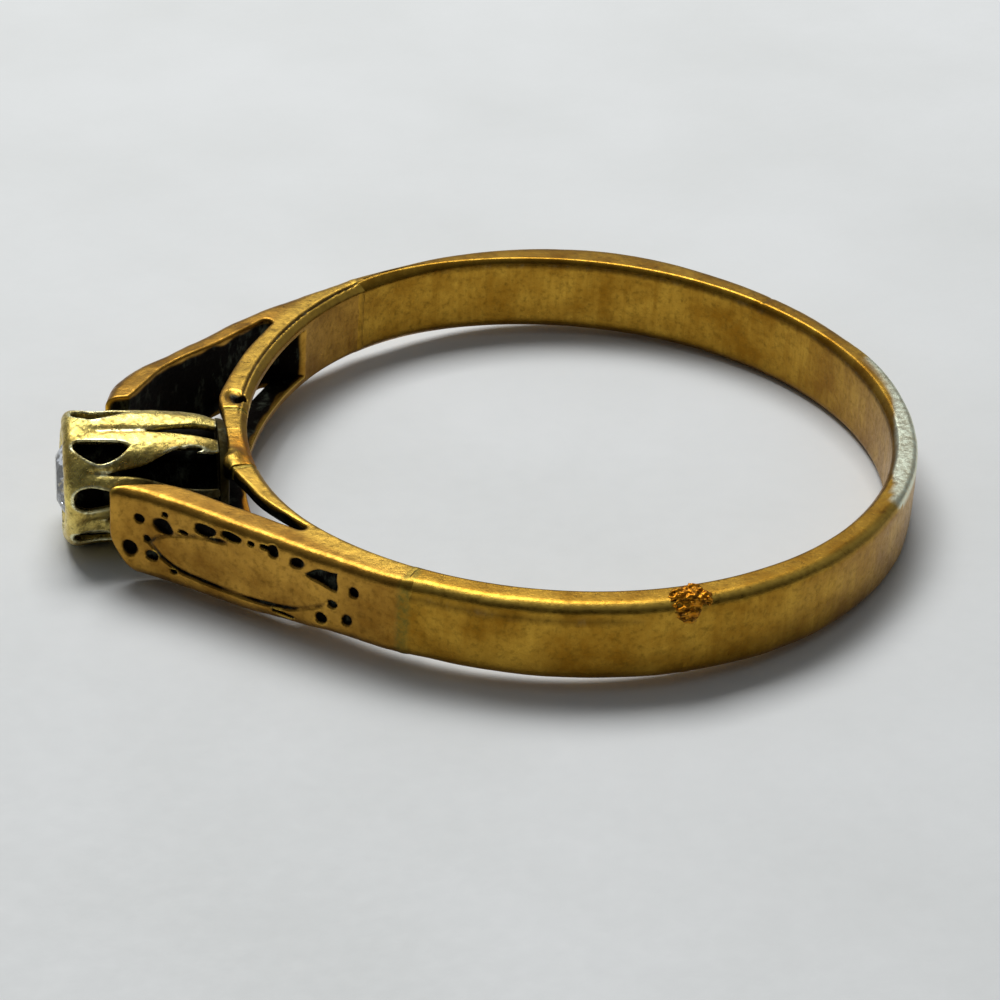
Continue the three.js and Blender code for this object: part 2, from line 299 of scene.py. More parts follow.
GROOVE_DEPTH = 0.085
GROOVE_WIDTH = 0.085
NOTCH = (-8.13, 1.62, 1.13)
NOTCH_HOLE = (-8.0, 1.56, 0.98)


def engraving(x, y, z):
    """How deep the near wall's face is cut, in millimetres, with its flat oval left standing."""
    gap, place = along(x, y, NEAR_LINE)
    gap, place, z = np.broadcast_arrays(gap, place, z)
    cut = np.zeros(gap.shape)
    near = gap < 0.3
    s, h = place[near], z[near]
    depth = np.zeros(s.shape)
    ragged = 0.12 * FINE_NOISE(0.7 * s, 0.9 * h, 0 * s)
    for at, height, length, rise in PITS:
        q = np.hypot((s - at) / length, (h - height) / rise) / PIT_GROWTH + ragged
        depth = np.maximum(depth, PIT_DEPTH * (1 - step(0.5, 1.1, q)))
    wedge = signed_polygon(s, h, np.array(WEDGE_PIT)) + 0.15 * ragged
    depth = np.maximum(depth, PIT_DEPTH * (1 - step(-0.06, 0.03, wedge)))
    rim = np.abs(signed_polygon(s, h, OVAL))
    faint = 0.6 + 0.4 * np.clip(FINE_NOISE(0.25 * s, 0.25 * h, 0 * s), -0.6, 1)
    worn_away = step(2.9, 3.4, s) * step(-0.35, -0.1, h)
    faint = faint * (1 - 0.85 * worn_away)
    depth = np.maximum(depth, GROOVE_DEPTH * faint * (1 - step(0.0, GROOVE_WIDTH, rim)))
    cut[near] = depth
    return cut


def plug_distance(x, y, z):
    """Distance to the finger hole, negative in it, flared at its mouths."""
    angle = angle_of(x, y)
    reach = np.hypot(x, y) - bore_at(angle)
    bevel = np.where(z > 0, chamfer_at(angle), MOUTH_CHAMFER)
    flare = (reach - bevel + HALF_WIDTH - np.abs(z)) / math.sqrt(2)
    return np.minimum(reach, flare)


def under_sag(x, y):
    """How far each arm's lower edge hangs below the band's, towards its tip."""
    _, place = along(x, y, NEAR_LINE)
    near_sag = NEAR_SAG * step(0.0, 0.7, place) * (1 - step(2.4, 7.2, place))
    far_sag = FAR_SAG * step(1.2, 2.6, y) * (1 - step(3.5, 6.5, y)) * (x < -7)
    return np.where(y < 0, near_sag, far_sag)


def shoulders_distance(x, y, z):
    """Both shoulders, the rails and the saddles in one, before they are parted."""
    near_side = y < 0
    sag = under_sag(x, y)
    wear = 0.007 * BODY_NOISE(x, y, 0 * z) + 0.0018 * FINE_NOISE(x, y, z)
    heights = np.where(z > 0, z - HALF_WIDTH, -z - HALF_WIDTH - sag)
    plan = signed_polygon(x, y, BLANK)
    body = round_max(plan, heights, RIM_ROUNDING) + wear
    tip = round_max(heights, NEAR_TIP_X - x, np.where(z > 0, 0.26, 0.95))
    body = np.where(near_side, round_max(body, tip, 0.04), body)
    far_tip = (y > 0) & (x < FAR_TIP_BEGINS)
    body = np.where(far_tip, round_max(body, FAR_TIP_Y - y, 0.08), body)
    pocket = signed_polygon(x, y, POCKET)
    for cx, cy, radius in SLOT_ENDS:
        pocket = np.minimum(pocket, np.hypot(x - cx, y - cy) - radius)
    body = round_max(body, -pocket + 0.4 * wear, 0.07)
    hollow = np.maximum(signed_polygon(x, y, HOLLOW), np.abs(z) - RAIL_INSIDE)
    body = round_max(body, -hollow, 0.05)
    body = round_max(body, -plug_distance(x, y, z), 0.04)
    angle = angle_of(x, y)
    crease = np.abs(np.hypot(x, y) - bore_at(angle) - CREASE_OFFSET)
    line = crease_at(angle) * (1 - step(0, CREASE_WIDTH, crease)) * (z > 0.8)
    return body + 0.05 * line


def shoulder_body(x, y, z):
    """The shoulders with their engraving, notch and roughness."""
    body = shoulders_distance(x, y, z) + engraving(x, y, z)
    scoop = ball(x, y, z, NOTCH, (0.26, 0.42, 0.2))
    hole = ball(x, y, z, NOTCH_HOLE, (0.15, 0.17, 0.42))
    return round_max(round_max(body, -scoop, 0.03), -hole, 0.03)


def wedge_distance(x, y, start, end):
    """Distance to the space between two angles around the finger."""
    a0, a1 = math.radians(start), math.radians(end)
    past_end = -x * -math.sin(a1) + y * math.cos(a1)
    before_start = -x * math.sin(a0) - y * math.cos(a0)
    return np.maximum(past_end, before_start)


SADDLE_START = SADDLE_END_NEAR - SOLDER / 2
SADDLE_STOP = SADDLE_END_FAR + SOLDER / 2
SEAM = 0.025
BEAD = 1.3


def saddle_space(x, y):
    within = wedge_distance(x, y, SADDLE_START, SADDLE_STOP)
    return np.maximum(within, np.hypot(x, y) - SADDLE_REACH)


def shoulder_between(x, y, z, start, end):
    arm = round_max(shoulder_body(x, y, z), -saddle_space(x, y), SEAM)
    return np.maximum(arm, wedge_distance(x, y, start, end))


def shoulder_far(x, y, z):
    return shoulder_between(x, y, z, 0, SHOULDER_END_FAR)


def shoulder_near(x, y, z):
    return shoulder_between(x, y, z, SHOULDER_END_NEAR, 0)


def saddle(x, y, z):
    """The block between the rails: proud of them, with a lump of solder at its near end."""
    body = shoulder_body(x, y, z)
    lump = ball(x, y, z, (-8.6, -1.4, 0.8), (0.28, 0.48, 0.32)) + 0.015 * FINE_NOISE(x, y, z)
    body = np.where(z > 0, round_min(body, lump, 0.18), body)
    return round_max(body, wedge_distance(x, y, SADDLE_START + SOLDER, SADDLE_STOP - SOLDER), SEAM)


def saddle_upper(x, y, z):
    return np.maximum(saddle(x, y, z), -z)


def saddle_lower(x, y, z):
    return np.maximum(saddle(x, y, z), z)


def swell_at(x, y, joint, half):
    """A bead of solder swells over the middle of its joint and sinks at both its edges."""
    turn = from_centre(angle_of(x, y), joint) / half
    return 0.01 - 0.035 * turn * turn


def solder_between(start, end, side, bead):
    """Solder in a joint between two angles, on the upper side, the lower side or both."""
    def distance(x, y, z):
        swell = swell_at(x, y, (start + end) / 2, (end - start) / 2) if bead else -0.012
        body = shoulder_body(x, y, z) + 0.002 * FINE_NOISE(x, y, z) - swell
        body = np.maximum(body, wedge_distance(x, y, start, end))
        body = np.maximum(body, np.hypot(x, y) - SADDLE_REACH - 2.2 * (side == 0))
        return np.maximum(body, -side * z) if side else body
    return distance


def sizing_solder(x, y, z):
    """The seam of a resizing, with a rough lump of solder left on its outer edge."""
    angle = angle_of(x, y)
    radius = np.hypot(x, y)
    outer = outside_at(angle % 360)
    half = SIZING_SOLDER / 2 + 0.4
    body = round_max(radius - outer, np.abs(z) - HALF_WIDTH, RIM_ROUNDING)
    body = round_max(body, -plug_distance(x, y, z), 0.04) - swell_at(x, y, SIZING_JOINT, half)
    body = np.maximum(body, wedge_distance(x, y, SIZING_JOINT - half, SIZING_JOINT + half))
    return lumps_joined(x, y, z, body)


# The lump's parts as [turn from the seam, radius, height, size].
LUMPS = [
    (0.0, 9.02, 0.97, 0.28), (1.7, 9.0, 1.02, 0.22), (-1.6, 9.06, 0.93, 0.24), (0.4, 9.2, 0.7, 0.25),
    (-0.9, 8.86, 1.03, 0.2), (2.6, 9.1, 0.88, 0.18), (-2.5, 9.1, 0.95, 0.17), (1.4, 9.22, 0.78, 0.2),
]


def lumps_joined(x, y, z, body):
    """The body with the rough lump of solder on it."""
    for turn, reach, height, size in LUMPS:
        cx, cy = polar(SIZING_JOINT + turn, reach)
        lump = ball(x, y, z, (cx, cy, height), (size, size, size * 0.8))
        body = round_min(body, lump + 0.022 * FINE_NOISE(x * 3.1, y * 3.1, z * 3.1), 0.07)
    return body


def lump_marks(distance, points):
    """Orange, rough solder on the lump, and plain gold in the seam below it."""
    x, y, z = points.T
    lump = lumps_joined(x, y, z, np.full(len(x), 9.0))
    marks = plain_marks(distance, points)
    warm = 1 - step(0.0, 0.1, lump)
    # Dark patches, more towards the lump's underside: dirt with painted shade.
    dark = warm * step(0.1, 0.9, FINE_NOISE(x * 2.2, y * 2.2, z * 2.2) - 3 * (z - 0.85))
    grime_and_shade = np.maximum(0.5 * marks["grime_and_shade"], 0.7 * dark)
    return {"grime_and_shade": grime_and_shade, "wear": 0.4 * marks["wear"], "warm": 0.8 * warm}


# ---- The head, along its own axis ----
CROWN_OUTSIDE = smooth([(1.42, 0), (1.56, 0.45), (1.64, 0.95), (1.68, 1.6), (1.68, 2.6), (1.68, 4)], 40)
CROWN_INSIDE = np.array([
    (1.18, 0), (1.3, 0.45), (1.38, 0.95), (1.42, 1.6), (1.42, 3.41), (1.3, 3.57), (1.3, 4),
])
GAP_SIDE = [(0.42, -0.3), (0.44, 0.3), (0.42, 0.75), (0.33, 1.2), (0.16, 1.75), (0.07, 2.2), (0.03, 2.75)]
SLIT_SIDE = [(0.2, -0.3), (0.21, 0.3), (0.17, 0.7), (0.1, 1.15), (0.04, 1.6), (0.02, 1.75)]
WAIST_SIDE = [(0.44, -0.3), (0.43, 0.4), (0.5, 0.7), (0.57, 1.0), (0.42, 1.4), (0.18, 1.85), (0.05, 2.5)]
LEAF = [
    (0.04, -1.62), (0.17, -1.4), (0.2, -0.9), (0.2, -0.36), (0.05, -0.25), (-0.1, -0.36),
    (-0.26, -0.58), (-0.36, -0.82), (-0.35, -1.05), (-0.24, -1.32), (-0.1, -1.5),
]
TEAR = [
    (0.0, -1.7), (0.17, -1.2), (0.29, -0.65), (0.2, -0.32), (0, -0.25), (-0.2, -0.32),
    (-0.29, -0.65), (-0.17, -1.2),
]
FRONT_PETAL = FIRST_PETAL - PETAL_PITCH
FRONT_GAP = FRONT_PETAL - PETAL_PITCH / 2
PIERCING_REACH = 0.16


def closed_smooth(points, steps):
    """A smooth closed outline through the points."""
    ring = [points[-1], *points, points[0], points[1]]
    count = steps * (len(points) + 2)
    return smooth(ring, count)[steps:-2 * steps]


LEAF_OUTLINE = closed_smooth(LEAF, 3)
TEAR_OUTLINE = closed_smooth(TEAR, 3)


def gap_outline(side, other):
    """A gap between petals, from its two sides as [half-width, height]."""
    right = smooth(side, 14)
    left = smooth(other, 14) * (-1, 1)
    return np.vstack([right, left[::-1]])


PLAIN_GAP = gap_outline(GAP_SIDE, GAP_SIDE)
SLIT_GAP = gap_outline(SLIT_SIDE, SLIT_SIDE)
WAIST_GAP = gap_outline(WAIST_SIDE, GAP_SIDE)


def from_petal(angle, centre):
    """The turn to an angle from the nearest of eight middles spaced like the petals."""
    return (angle - centre + PETAL_PITCH / 2) % PETAL_PITCH - PETAL_PITCH / 2


def within_petal(angle, centre):
    return np.abs(from_centre(angle, centre)) < PETAL_PITCH / 2


def sideways(angle, radius, centre):
    """How far round the wall a point lies from the nearest of eight middles."""
    return radius * np.sin(np.radians(from_petal(angle, centre)))


def crown_wall(x, y, z, angle):
    """The crown's wall before it is pierced, leaning in between the petals."""
    radius = np.hypot(x, y)
    to_gap = PETAL_PITCH / 2 - np.abs(from_petal(angle, FIRST_PETAL))
    lean = 1 - step(HEAD_HEIGHT - 0.95, HEAD_HEIGHT - 0.3, z)
    broad_dip = 0.1 * lean * (1 - step(0, 20, to_gap))
    narrow_dip = 0.05 * (1 - step(0, 6, to_gap)) * step(0.5, 1.5, z) * lean
    outer = np.interp(z, CROWN_OUTSIDE[:, 1], CROWN_OUTSIDE[:, 0]) - (broad_dip + narrow_dip)
    inner = np.interp(z, CROWN_INSIDE[:, 1], CROWN_INSIDE[:, 0])
    worn = 0.014 * BODY_NOISE(x, y, z) + 0.004 * FINE_NOISE(x, y, z)
    rim = RIM_ROUNDNESS + 0.05 * np.cos(np.radians(from_centre(angle, 200)))
    wall = round_max(radius - outer, z - HEAD_HEIGHT + 0.02, rim) + worn
    wall = round_max(wall, inner - radius, 0.04)
    return np.maximum(wall, -z)


def petal_windows(angle, radius, z):
    """Distance to the windows: a leaf in the front petal and teardrops in the others."""
    side = sideways(angle, radius, FIRST_PETAL)
    window = signed_polygon(side, z - HEAD_HEIGHT, TEAR_OUTLINE)
    front = within_petal(angle, FRONT_PETAL)
    window[front] = signed_polygon(side[front], z[front] - HEAD_HEIGHT, LEAF_OUTLINE)
    return window


def petal_gaps(angle, radius, z):
    """Distance to the gaps between petals: wide below the front petal and narrow above it."""
    across = sideways(angle, radius, FIRST_PETAL + PETAL_PITCH / 2)
    gap = signed_polygon(across, z, PLAIN_GAP)
    for centre, outline in ((FRONT_GAP, WAIST_GAP), (FRONT_GAP + PETAL_PITCH, SLIT_GAP)):
        here = within_petal(angle, centre)
        gap[here] = signed_polygon(across[here], z[here], outline)
    return gap


def foot_nick(angle, radius, z):
    """Distance to a small nick in the front petal's foot."""
    side = sideways(angle, radius, FIRST_PETAL)
    nick = np.hypot((side + 0.05) / 0.06, (z - 0.62) / 0.2) - 1
    return np.where(within_petal(angle, FRONT_PETAL), nick * 0.06, 1)


def crown(x, y, z):
    """The pierced crown in the head's own axes: eight petals, each with a window."""
    angle = np.degrees(np.arctan2(y, x))
    wall = crown_wall(x, y, z, angle)
    angle, radius, height, wall = np.broadcast_arrays(angle, np.hypot(x, y), z, wall)
    near = wall < PIERCING_REACH
    spot = angle[near], radius[near], height[near]
    pierced = round_max(wall[near], -petal_windows(*spot), 0.05)
    pierced = round_max(pierced, -petal_gaps(*spot), 0.06)
    body = wall.copy()
    body[near] = round_max(pierced, -foot_nick(*spot), 0.03)
    return body


def to_world(points):
    """From the head's own axes to the ring's."""
    t = math.radians(HEAD_TURN)
    sideways = np.array([0, 0, 1.0])
    across = np.array([math.sin(t), math.cos(t), 0])
    out = np.array([-math.cos(t), math.sin(t), 0])
    return HEAD_FOOT + points @ np.array([sideways, across, out])


# ---- From distance functions to meshes ----
EDGES = [
    (np.array(corner), corner + axis)
    for axis in np.eye(3, dtype=int) for corner in np.ndindex(2, 2, 2) if not axis @ corner
]


def gradient(distance, points, reach=0.008):
    x, y, z = points.T
    slopes = [
        distance(x + reach, y, z) - distance(x - reach, y, z),
        distance(x, y + reach, z) - distance(x, y - reach, z),
        distance(x, y, z + reach) - distance(x, y, z - reach),
    ]
    return np.stack(slopes, -1) / (2 * reach)


def cell_points(field, cells):
    """A point for each cell, in grid steps: the mean of where its edges cross the surface."""
    total = np.zeros((len(cells), 3))
    hits = np.zeros(len(cells))
    for start, end in EDGES:
        a = field[tuple((cells + start).T)]
        b = field[tuple((cells + end).T)]
        cross = (a < 0) != (b < 0)
        t = np.where(cross, a / np.where(cross, a - b, 1), 0)[:, None]
        spot = start * (1 - t) + end * t
        total += np.where(cross[:, None], spot, 0)
        hits += cross
    return cells + total / hits[:, None]


def crossing_quads(inside, index):
    """A quad of cells round each grid edge that crosses the surface, facing out."""
    faces = []
    for axis in range(3):
        crossing = inside != np.roll(inside, -1, axis)
        crossing[(slice(None),) * axis + (-1,)] = False
        spots = np.argwhere(crossing)
        u = np.eye(3, dtype=int)[(axis + 1) % 3]
        v = np.eye(3, dtype=int)[(axis + 2) % 3]
        quad = np.stack([index[tuple((spots - shift).T)] for shift in (u + v, v, 0 * u, u)], -1)
        outward = inside[tuple(spots.T)]
        quad[~outward] = quad[~outward][:, ::-1]
        faces.append(quad)
    return np.vstack(faces)


def settle(distance, points, longest):
    """Moves points along their slopes onto the surface, by no more than a given step."""
    for _ in range(2):
        value = distance(*points.T)
        slope = gradient(distance, points)
        strength = np.maximum((slope ** 2).sum(1), 0.2)
        move = slope * (value / strength)[:, None]
        length = np.linalg.norm(move, axis=1)[:, None]
        points = points - move * np.minimum(1, longest / np.maximum(length, 1e-9))
    return points


def surface_of(distance, low, high, size):
    """A closed quad mesh of the surface where a distance function is nought."""
    low, high = np.array(low, float), np.array(high, float)
    counts = np.ceil((high - low) / size).astype(int) + 1
    x, y, z = (low[i] + size * np.arange(counts[i]) for i in range(3))
    field = distance(x[:, None, None], y[None, :, None], z[None, None, :])
    inside = field < 0
    corners = sum(
        inside[i:i + counts[0] - 1, j:j + counts[1] - 1, k:k + counts[2] - 1].astype(np.int8)
        for i in (0, 1) for j in (0, 1) for k in (0, 1)
    )
    cells = np.argwhere((corners > 0) & (corners < 8))
    index = np.full(counts, -1)
    index[tuple(cells.T)] = np.arange(len(cells))
    points = settle(distance, low + size * cell_points(field, cells), 0.6 * size)
    return points, crossing_quads(inside, index)


def add_object(name, data):
    obj = bpy.data.objects.new(name, data)
    bpy.context.scene.collection.objects.link(obj)
    return obj


def make_object(name, points, faces, marks):
    """A smooth-shaded object from points in millimetres, with named values on its points."""
    mesh = bpy.data.meshes.new(name)
    mesh.from_pydata((points * MM).tolist(), [], faces.tolist())
    mesh.validate()
    mesh.polygons.foreach_set("use_smooth", np.ones(len(mesh.polygons), bool))
    for key in ("grime_and_shade", "wear", "pale_flat_and_glint", "warm", "green"):
        layer = mesh.attributes.new(key, "FLOAT", "POINT")
        values = marks.get(key, np.zeros(len(points)))
        layer.data.foreach_set("value", np.asarray(values, np.float32))
    return add_object(name, mesh)


def edge_and_crevice(distance, points, reach):
    """How sharply the surface falls away outside each point, and how closed in it is."""
    slope = gradient(distance, points)
    normal = slope / np.maximum(np.linalg.norm(slope, axis=1), 1e-6)[:, None]
    inner = distance(*(points - normal * reach).T)
    outer = distance(*(points + normal * reach).T)
    edge = np.clip((inner + reach) / reach, 0, 1)
    crevice = np.clip((reach - outer) / reach, 0, 1)
    return edge, crevice


def joint_green(angle):
    """The green stripe that flux left at the near shoulder's joint."""
    return 0.55 * (1 - step(0.5, 1.5, np.abs(from_centre(angle, SHOULDER_END_NEAR))))


def shoulder_marks(distance, points):
    """Dirty darkening with painted shade in the pocket, the hollow, the notch and the creases, dark
    engraved pits, a painted dark reflection along the groove by the mouth, and worn edges and the top by
    the finger hole lightened with painted highlights.
    """
    x, y, z = points.T
    edge, crevice = edge_and_crevice(distance, points, 0.09)
    plan = signed_polygon(x, y, BLANK)
    heights = np.where(z > 0, z - HALF_WIDTH, -z - HALF_WIDTH - under_sag(x, y))
    body = round_max(plan, heights, RIM_ROUNDING)
    depth = -np.maximum(body, -plug_distance(x, y, z))
    ragged = 0.025 * BODY_NOISE(x * 2, y * 2, z * 2)
    # The pocket and the hollow are darkened for their dirt and for the shade inside them.
    pocket = step(0.07, 0.15, depth + ragged)
    cut = engraving(x, y, z)
    pits = step(0.016, 0.05, cut + 0.004 * FINE_NOISE(x, y, z))
    # Crevices are darkened for dirt and painted shade together.
    grime_and_shade = np.maximum(pocket, np.maximum(pits, step(0.35, 0.8, crevice)))
    # The notch hole is darkened for its debris and the shade inside it.
    notch = step(0.02, -0.06, ball(x, y, z, NOTCH_HOLE, (0.2, 0.22, 0.5)))
    angle = angle_of(x, y)
    crease = np.abs(np.hypot(x, y) - bore_at(angle) - CREASE_OFFSET)
    # Painted dark reflection along the groove beside the upper mouth.
    line = crease_at(angle) * (1 - step(0.3, 1.1, crease / CREASE_WIDTH)) * (z > 0.8)
    grime_and_shade = np.clip(np.maximum(np.maximum(grime_and_shade, notch), 0.85 * line), 0, 1)
    green = joint_green(angle)
    # Painted highlight on the flat top near the finger hole.
    rail_top_highlight = 0.45 * (z > 0.85) * (1 - step(0.45, 0.8, np.hypot(x, y) - bore_at(angle)))
    # Edges lightened for wear and for painted highlights.
    wear = np.maximum(step(0.15, 0.7, edge), rail_top_highlight) * (1 - grime_and_shade)
    return {"grime_and_shade": grime_and_shade, "wear": wear, "green": green}


def saddle_marks(distance, points):
    """As the shoulders, but orange at its near end, from heat and from a painted highlight, and green
    where flux stayed.
    """
    marks = shoulder_marks(distance, points)
    x, y, z = points.T
    # Painted orange highlight on the saddle's near end, over its heat tint.
    marks["warm"] = 0.75 * (1 - step(-0.8, 0.2, y)) * step(-8.75, -8.4, x)
    marks["green"] = 0.6 * (1 - step(-1.2, -0.7, y)) * (1 - step(-8.5, -8.25, x))
    return marks


def carve(name, distance, low, high, size, node, mark, place=None):
    """A piece of the ring from its distance function, in place of its CAD node."""
    points, faces = surface_of(distance, low, high, size * (1))
    marks = mark(distance, points)
    piece = make_object(name, place(points) if place else points, faces, marks)
    finish_piece(piece, node)


def plain_marks(distance, points):
    edge, crevice = edge_and_crevice(distance, points, 0.06)
    # Crevices darkened for dirt and painted shade; edges lightened for wear and painted highlights.
    return {"grime_and_shade": step(0.3, 0.8, crevice), "wear": 0.7 * step(0.2, 0.8, edge)}


def finish_piece(piece, node):
    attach(piece, "root")
    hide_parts(node)
    piece.data.materials.append(MATERIALS[piece.name])


# ---- Shank sections as swept bars ----
def arc(radius, height, size, start, end, count):
    """Points round a quarter circle about a centre at [radius, height]."""
    turn = np.radians(np.linspace(start, end, count))
    return [(radius + size * math.cos(t), height + size * math.sin(t)) for t in turn]


def bar_section(inner, outer, bevel, crease, flat, nick, crowned):
    """The band's section as [radius, height] from its lower mouth round the outside."""
    lip = 0.06
    top = HALF_WIDTH - 0.05 * nick
    corner = RIM_ROUNDING - 0.14 * flat
    low = arc(outer - RIM_ROUNDING, RIM_ROUNDING - HALF_WIDTH, RIM_ROUNDING, -90, 0, 7)
    high = arc(outer - corner, top - corner, corner, 0, 90, 9)
    face = [
        (outer + 0.02 * crowned * (1 - k * k), k * (HALF_WIDTH - RIM_ROUNDING))
        for k in np.linspace(-0.85, 0.85, 9)
    ]
    rim = inner + bevel
    groove = rim + 0.05
    rest = [
        ((outer - corner) * 0.6 + groove * 0.4, top), (groove + 0.04, top), (groove, top - 0.04 * crease),
        (rim, top - 0.01 * crease), (rim - 0.03, top - 0.02), (rim - bevel * 0.5, top - bevel * 0.5),
        (inner + 0.02, top - bevel + 0.01), (inner, top - bevel - lip),
    ]
    foot_height = MOUTH_CHAMFER - HALF_WIDTH
    wall = [(inner, h) for h in np.linspace(top - bevel - 0.2, foot_height + 0.15, 12)]
    foot = [
        (inner, foot_height + lip), (inner + 0.02, foot_height - 0.01),
        (inner + MOUTH_CHAMFER - 0.03, 0.02 - HALF_WIDTH), (inner + MOUTH_CHAMFER, -HALF_WIDTH),
        ((inner + outer) / 2, -HALF_WIDTH),
    ]
    return np.array(low + face + high + rest + wall + foot)


def bar_row(angle, start, end):
    """The band's section in place at an angle, on the way from one angle to another."""
    turn = from_centre(angle, 0)
    flat = float(step(158, 168, angle) * (1 - step(212, 219, angle)))
    nick = 0.35 * math.exp(-((angle - NICK_ANGLE) / 0.4) ** 2)
    crowned = float(step(0, 6, min(angle - start, end - angle)))
    section = bar_section(
        float(bore_at(turn)), float(outside_at(angle % 360)), float(chamfer_at(turn)),
        float(crease_at(turn)), flat, nick, crowned,
    )
    return np.column_stack([polar(angle, section[:, 0]), section[:, 1]])


def wear_down(points):
    """Moves the band's points in and out a little, most on its outer side."""
    worn = 0.006 * BODY_NOISE(*points.T) + 0.0015 * FINE_NOISE(*points.T)
    radius = np.linalg.norm(points[:, :2], axis=1)
    out = points[:, :2] / radius[:, None]
    outer_side = radius > bore_at(angle_of(points[:, 0], points[:, 1])) + 0.3
    points[:, :2] -= out * (worn * np.where(outer_side, 1.0, 0.3))[:, None]


def ring_quads(first, second, count):
    """Quads between two rings of points that start at the given places in a list."""
    a = first + np.arange(count)
    b = first + np.roll(np.arange(count), -1)
    return np.stack([a, b, b + second - first, a + second - first], -1)


def sweep_bar(name, start, end, node):
    """A stretch of the shank between two angles, closed at both ends."""
    spacing = 0.25
    angles = np.linspace(start, end, int((end - start) / spacing) + 2)
    rows = [bar_row(angle, start, end) for angle in angles]
    count = len(rows[0])
    points = np.vstack(rows)
    wear_down(points)
    faces = [ring_quads(row * count, (row + 1) * count, count) for row in range(len(rows) - 1)]
    caps = []
    for row, order in ((0, -1), (len(rows) - 1, 1)):
        middle = np.full(count, len(points))
        points = np.vstack([points, points[row * count:(row + 1) * count].mean(0)])
        a = row * count + np.arange(count)
        caps.append(np.stack([a, np.roll(a, -1), middle], -1)[:, ::order])
    piece = make_closed(name, points, np.vstack(faces), caps, bar_marks(points))
    finish_piece(piece, node)


def bar_marks(points):
    """Painted dark reflections in the groove by the mouth, under the outer rim and at the mouth's foot, a
    painted highlight on the worn outer rim, and the whitish filed flat with its painted glint.
    """
    x, y, z = points.T
    angle = angle_of(x, y)
    full = angle % 360
    radius = np.hypot(x, y)
    reach = radius - bore_at(angle)
    from_rim = radius - outside_at(full) + RIM_ROUNDING
    above = z - HALF_WIDTH + RIM_ROUNDING
    crease = np.abs(reach - chamfer_at(angle) - 0.05)
    # Painted dark reflection along the groove beside the upper mouth.
    line = crease_at(angle) * (1 - step(0.3, 1.2, crease / CREASE_WIDTH)) * (z > 0.9)
    # Painted highlight on the outer rim's rounding, together with its wear.
    wear = step(0.05, 0.2, from_rim) * step(0.05, 0.25, above) * 0.6
    # Whitish filed flat on the back of the rim, painted with its glint.
    flat = step(166.5, 168.5, full) * (1 - step(215.5, 217.5, full))
    spread = 0.3 * step(175, 195, full) * (1 - step(205, 217, full))
    pale_flat_and_glint = flat * step(0.0, 0.08, from_rim + spread) * (z > HALF_WIDTH - 0.2)
    # Painted dark reflection just under the outer rim on the near side.
    under = np.abs(above + 0.1) * (from_rim > 0)
    shade = step(268, 275, full) * (from_rim > 0.05) * (1 - step(0.04, 0.14, under))
    # Painted dark reflection at the foot of the mouth's bevel on the far side.
    mouth = 1 - step(0.02, 0.07, np.abs(z - HALF_WIDTH + chamfer_at(angle) + 0.05))
    mouth = mouth * (reach < 0.06) * step(70, 95, full) * (1 - step(190, 215, full))
    grime_and_shade = np.maximum(np.maximum(0.8 * line, 0.4 * shade), 0.6 * mouth)
    return {"grime_and_shade": grime_and_shade, "wear": wear, "pale_flat_and_glint": pale_flat_and_glint, "green": joint_green(angle)}


def face_outwards(mesh, extra_faces=()):
    """Turns a closed mesh's faces outwards, once any extra ones are added to it."""
    shape = bmesh.new()
    shape.from_mesh(mesh)
    shape.verts.ensure_lookup_table()
    for corners in extra_faces:
        shape.faces.new([shape.verts[int(c)] for c in corners]).smooth = False
    bmesh.ops.recalc_face_normals(shape, faces=shape.faces)
    shape.to_mesh(mesh)
    shape.free()


def make_closed(name, points, quads, caps, marks):
    """As make_object, with fans of triangles that close the ends."""
    piece = make_object(name, points, quads, marks)
    face_outwards(piece.data, np.vstack(caps))
    return piece


# ---- Turned pieces and the stone ----
def lathe(name, profile, segments, node, marks):
    """A closed profile of [radius, height] turned about the head's axis."""
    profile = np.array(profile, float)
    count = len(profile)
    rows = []
    for t in np.linspace(0, 2 * math.pi, segments, endpoint=False):
        row = (profile[:, 0] * math.cos(t), profile[:, 0] * math.sin(t), profile[:, 1])
        rows.append(np.column_stack(row))
    points = np.vstack(rows)
    points = points * (1 + 0.004 * FINE_NOISE(*points.T))[:, None]
    starts = [row * count for row in range(segments)]
    faces = [ring_quads(a, b, count)[:, [0, 3, 2, 1]] for a, b in zip(starts, np.roll(starts, -1))]
    piece = make_object(name, to_world(points), np.vstack(faces), marks(points))
    finish_piece(piece, node)


def stone_ring(radius, height, count, offset=0.0):
    turn = np.radians((np.arange(count) + offset) * 360 / count)
    return [(radius * math.cos(t), radius * math.sin(t), height) for t in turn]


def stone_faces():
    """The facets, as places in the rings: table, kites, upper and lower girdle, belly, tip."""
    table, kite, upper, lower, belly, tip = 0, 8, 16, 32, 48, 56
    faces = [list(range(8))]
    for i in range(8):
        after = (i + 1) % 8
        even, odd, next_even = 2 * i, 2 * i + 1, (2 * i + 2) % 16
        faces.append([table + i, kite + i, table + after])
        faces.append([table + i, kite + (i - 1) % 8, upper + even, kite + i])
        faces.append([kite + i, upper + even, upper + odd])
        faces.append([kite + i, upper + odd, upper + next_even])
        faces.append([belly + i, lower + even, lower + odd])
        faces.append([belly + after, lower + odd, lower + next_even])
        faces.append([belly + i, lower + odd, belly + after])
        faces.append([belly + i, belly + after, tip])
    for i in range(16):
        after = (i + 1) % 16
        faces.append([upper + i, lower + i, lower + after, upper + after])
    return faces


